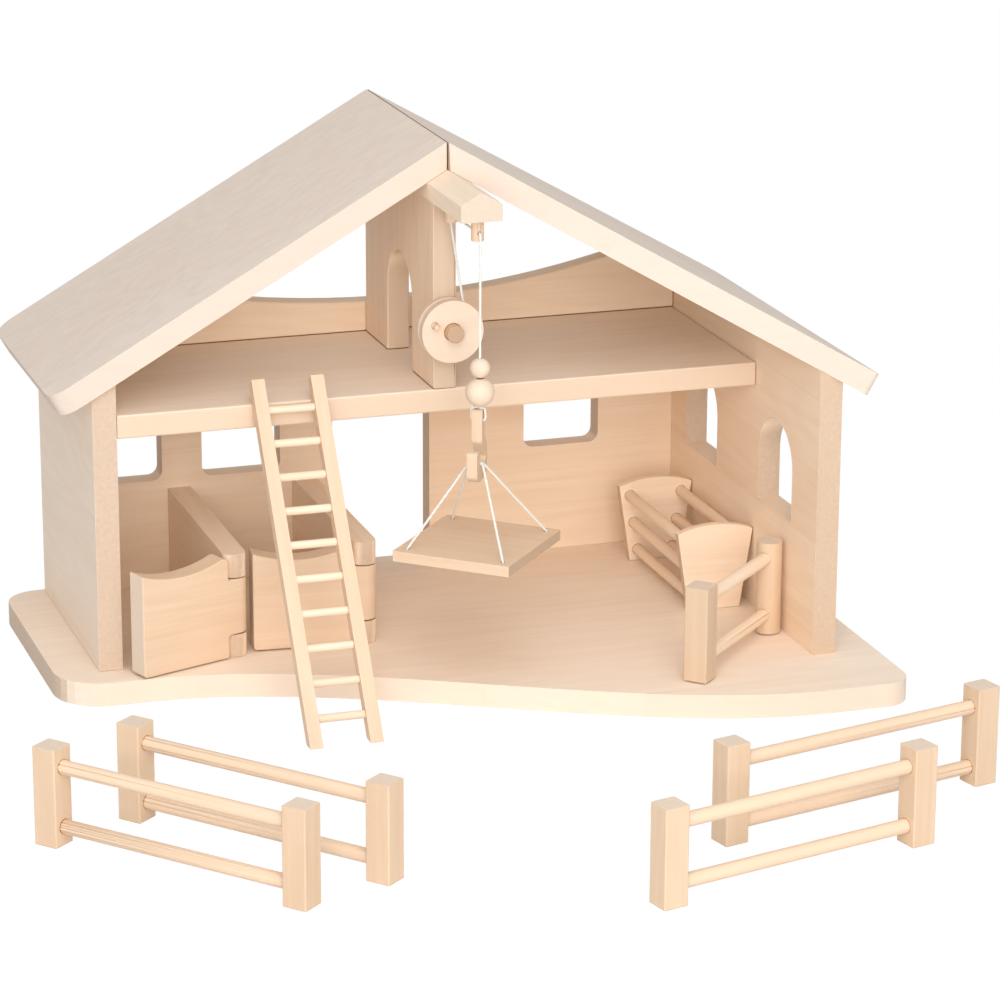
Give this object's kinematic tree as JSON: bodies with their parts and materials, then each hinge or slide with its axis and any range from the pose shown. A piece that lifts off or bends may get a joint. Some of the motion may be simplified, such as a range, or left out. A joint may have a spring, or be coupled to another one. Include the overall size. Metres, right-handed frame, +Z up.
{
  "type": "toy barn",
  "caption": "Open-fronted wooden toy barn with hayloft, pulley hoist, stalls with swinging doors, manger, gate, ladder and loose fence sections.",
  "frame": {"origin": "on the base's underside, below the ridge, at the front of the loft", "axes": "+x to the right, +y to the back, +z up"},
  "size_m": [0.7536, 0.7936, 0.4497],
  "materials": {
    "board_wood": "satin",
    "roof_wood": "satin",
    "turned_wood": "satin",
    "cord": "matte"
  },
  "bodies": {
    "barn": {"base_board": "board_wood", "left_wall": "board_wood", "right_wall": "board_wood", "back_panel_left": "board_wood", "back_panel_right": "board_wood", "loft_floor": "board_wood", "loft_back_board": "board_wood", "centre_wall": "board_wood", "roof_panel_left": "roof_wood", "roof_panel_right": "roof_wood", "ridge_beam": "board_wood", "rear_guide_peg": "turned_wood", "front_guide_peg": "turned_wood", "base_dowels": "turned_wood", "roof_dowels": "turned_wood", "winch_axle": "turned_wood", "hoist_cord_rise": "cord", "hoist_cord_run": "cord", "hoist_cord_drop": "cord", "stall_partition_left": "board_wood", "stall_partition_right": "board_wood", "stall_hinge_pins": "turned_wood", "gate_pivot_dowel": "turned_wood"},
    "door_left": {"stall_door_left": "board_wood"},
    "door_right": {"stall_door_right": "board_wood"},
    "winch": {"winch_rear_flange": "turned_wood", "winch_drum": "turned_wood", "winch_front_flange": "turned_wood", "winch_crank_peg": "turned_wood", "winch_cord_wrap": "cord"},
    "load": {"hoist_bead_small": "turned_wood", "hoist_bead_large": "turned_wood"},
    "load_swivel": {"hoist_cord_loop": "cord", "hoist_hook": "turned_wood", "hoist_slings": "cord", "hoist_platform": "board_wood"},
    "gate": {"gate_hinge_post": "turned_wood", "gate_free_post": "turned_wood", "gate_rails": "turned_wood"},
    "ladder": {"ladder_rail_left": "turned_wood", "ladder_rail_right": "turned_wood", "ladder_rungs": "turned_wood"},
    "manger": {"manger_plate_front": "turned_wood", "manger_plate_rear": "turned_wood", "manger_bars": "turned_wood"},
    "fence_1": {"fence_1_post_a": "turned_wood", "fence_1_post_b": "turned_wood", "fence_1_rails": "turned_wood"},
    "fence_2": {"fence_2_post_a": "turned_wood", "fence_2_post_b": "turned_wood", "fence_2_rails": "turned_wood"},
    "fence_3": {"fence_3_post_a": "turned_wood", "fence_3_post_b": "turned_wood", "fence_3_rails": "turned_wood"},
    "fence_4": {"fence_4_post_a": "turned_wood", "fence_4_post_b": "turned_wood", "fence_4_rails": "turned_wood"}
  },
  "joints": [
    {"name": "door_left_swing", "type": "hinge", "parent": "barn", "child": "door_left", "pos_m": [-0.1815, 0.011, 0.02], "axis": [0, 0, 1], "range_deg": [-26, 70]},
    {"name": "door_right_swing", "type": "hinge", "parent": "barn", "child": "door_right", "pos_m": [-0.0685, 0.011, 0.02], "axis": [0, 0, 1], "range_deg": [-1.5, 94.5]},
    {"name": "winch_spin", "type": "hinge", "parent": "barn", "child": "winch", "pos_m": [0.0015, -0.0016, 0.2919], "axis": [0, 1, 0], "range_deg": [-345, 335]},
    {"name": "hoist_lift", "type": "slide", "parent": "barn", "child": "load", "axis": [0, 0, 1], "range_m": [-0.0897, 0.0871], "deforming": ["hoist_cord_drop"]},
    {"name": "load_turn", "type": "hinge", "parent": "load", "child": "load_swivel", "pos_m": [0.0015, -0.0904, 0.2598], "axis": [0, 0, 1], "continuous": true},
    {"name": "gate_swing", "type": "hinge", "parent": "barn", "child": "gate", "pos_m": [0.2663, -0.0725, 0.02], "axis": [0, 0, 1], "range_deg": [-75, 46]},
    {"name": "ladder_lift", "type": "slide", "parent": "barn", "child": "ladder", "axis": [0, 0, 1], "range_m": [0, 0.055]},
    {"name": "manger_lift", "type": "slide", "parent": "barn", "child": "manger", "axis": [0, 0, 1], "range_m": [0, 0.1]},
    {"name": "fence_1_lift", "type": "slide", "parent": "barn", "child": "fence_1", "axis": [0, 0, 1], "range_m": [0, 0.1]},
    {"name": "fence_2_lift", "type": "slide", "parent": "barn", "child": "fence_2", "axis": [0, 0, 1], "range_m": [0, 0.1]},
    {"name": "fence_3_lift", "type": "slide", "parent": "barn", "child": "fence_3", "axis": [0, 0, 1], "range_m": [0, 0.1]},
    {"name": "fence_4_lift", "type": "slide", "parent": "barn", "child": "fence_4", "axis": [0, 0, 1], "range_m": [0, 0.1]}
  ],
  "couplings": [
    {"joint": "winch_spin", "follows": "hoist_lift", "rad_per_m": 67.114}
  ]
}
